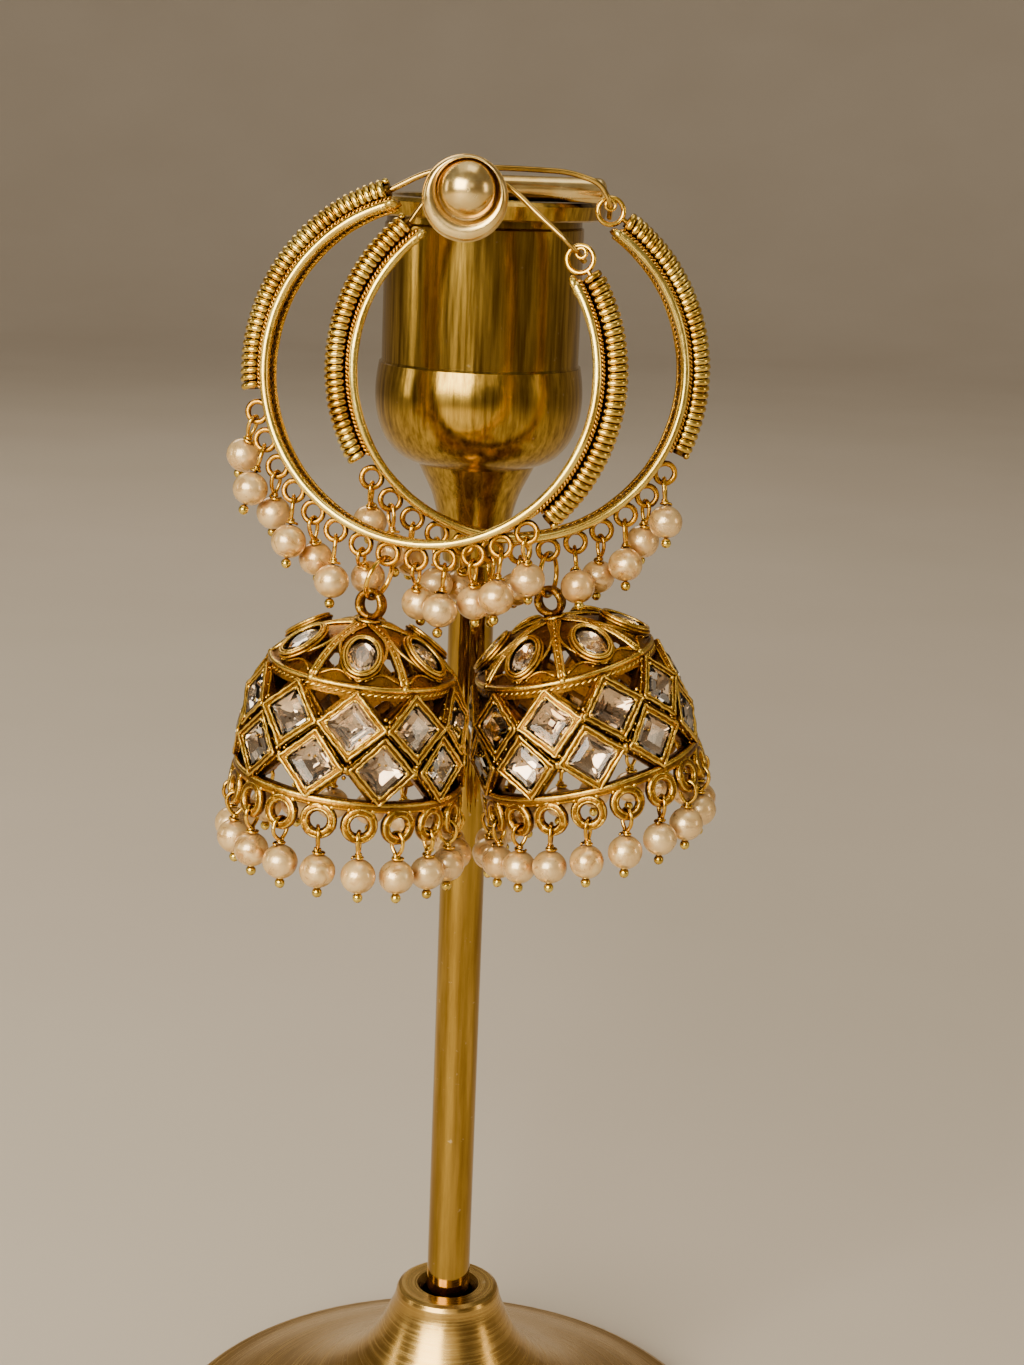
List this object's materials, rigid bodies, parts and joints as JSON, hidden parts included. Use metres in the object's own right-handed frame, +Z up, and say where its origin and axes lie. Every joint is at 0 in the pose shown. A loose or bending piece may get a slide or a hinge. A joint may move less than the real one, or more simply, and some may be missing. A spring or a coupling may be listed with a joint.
{
  "type": "pair of jhumka hoop earrings on a candlestick stand",
  "caption": "Pair of hoop earrings with wound coils, hanging stone-set bell drops and pearl drops, hung from a peg on a round brass candlestick.",
  "frame": {"origin": "middle of the underside of the stand's round foot", "axes": "+Z up the stand, -Y towards the earrings that hang in front of the cup"},
  "size_m": [0.08, 0.0811, 0.1823],
  "materials": {
    "stand_brass": "brushed satin",
    "antique_gold": "antiqued gold plate",
    "gold_wire": "polished gold wire",
    "pearl": "pearlescent",
    "crystal": "faceted"
  },
  "bodies": {
    "stand": {"stand_base": "stand_brass", "stand_stem": "stand_brass", "stand_cup": "stand_brass", "hanger": "stand_brass", "a_hoop": "antique_gold", "a_coil_left": "antique_gold", "a_coil_right": "antique_gold", "a_ear_wire": "gold_wire", "a_catch_loop": "gold_wire", "a_hoop_pins": "gold_wire", "a_hoop_pearls": "pearl", "b_hoop": "antique_gold", "b_coil_left": "antique_gold", "b_coil_right": "antique_gold", "b_ear_wire": "gold_wire", "b_catch_loop": "gold_wire", "b_hoop_pins": "gold_wire", "b_hoop_pearls": "pearl"},
    "a_link": {"a_jump_ring": "gold_wire"},
    "a_drop": {"a_bell": "antique_gold", "a_bell_stones": "crystal", "a_bell_pins": "gold_wire", "a_bell_pearls": "pearl"},
    "b_link": {"b_jump_ring": "gold_wire"},
    "b_drop": {"b_bell": "antique_gold", "b_bell_stones": "crystal", "b_bell_pins": "gold_wire", "b_bell_pearls": "pearl"}
  },
  "joints": [
    {"name": "a_ring_swing", "type": "hinge", "parent": "stand", "child": "a_link", "pos_m": [-0.01042, -0.02559, 0.13499], "axis": [-1, 0, 0], "range_deg": [-4, 24]},
    {"name": "a_bell_sway", "type": "hinge", "parent": "a_link", "child": "a_drop", "pos_m": [-0.01181, -0.02559, 0.13071], "axis": [0, 1, 0], "range_deg": [0, 16]},
    {"name": "b_ring_swing", "type": "hinge", "parent": "stand", "child": "b_link", "pos_m": [0.0091, -0.01801, 0.13474], "axis": [-1, 0, 0], "range_deg": [-9, 6]},
    {"name": "b_bell_sway", "type": "hinge", "parent": "b_link", "child": "b_drop", "pos_m": [0.00934, -0.01801, 0.13024], "axis": [0, -1, 0], "range_deg": [0, 11]}
  ]
}
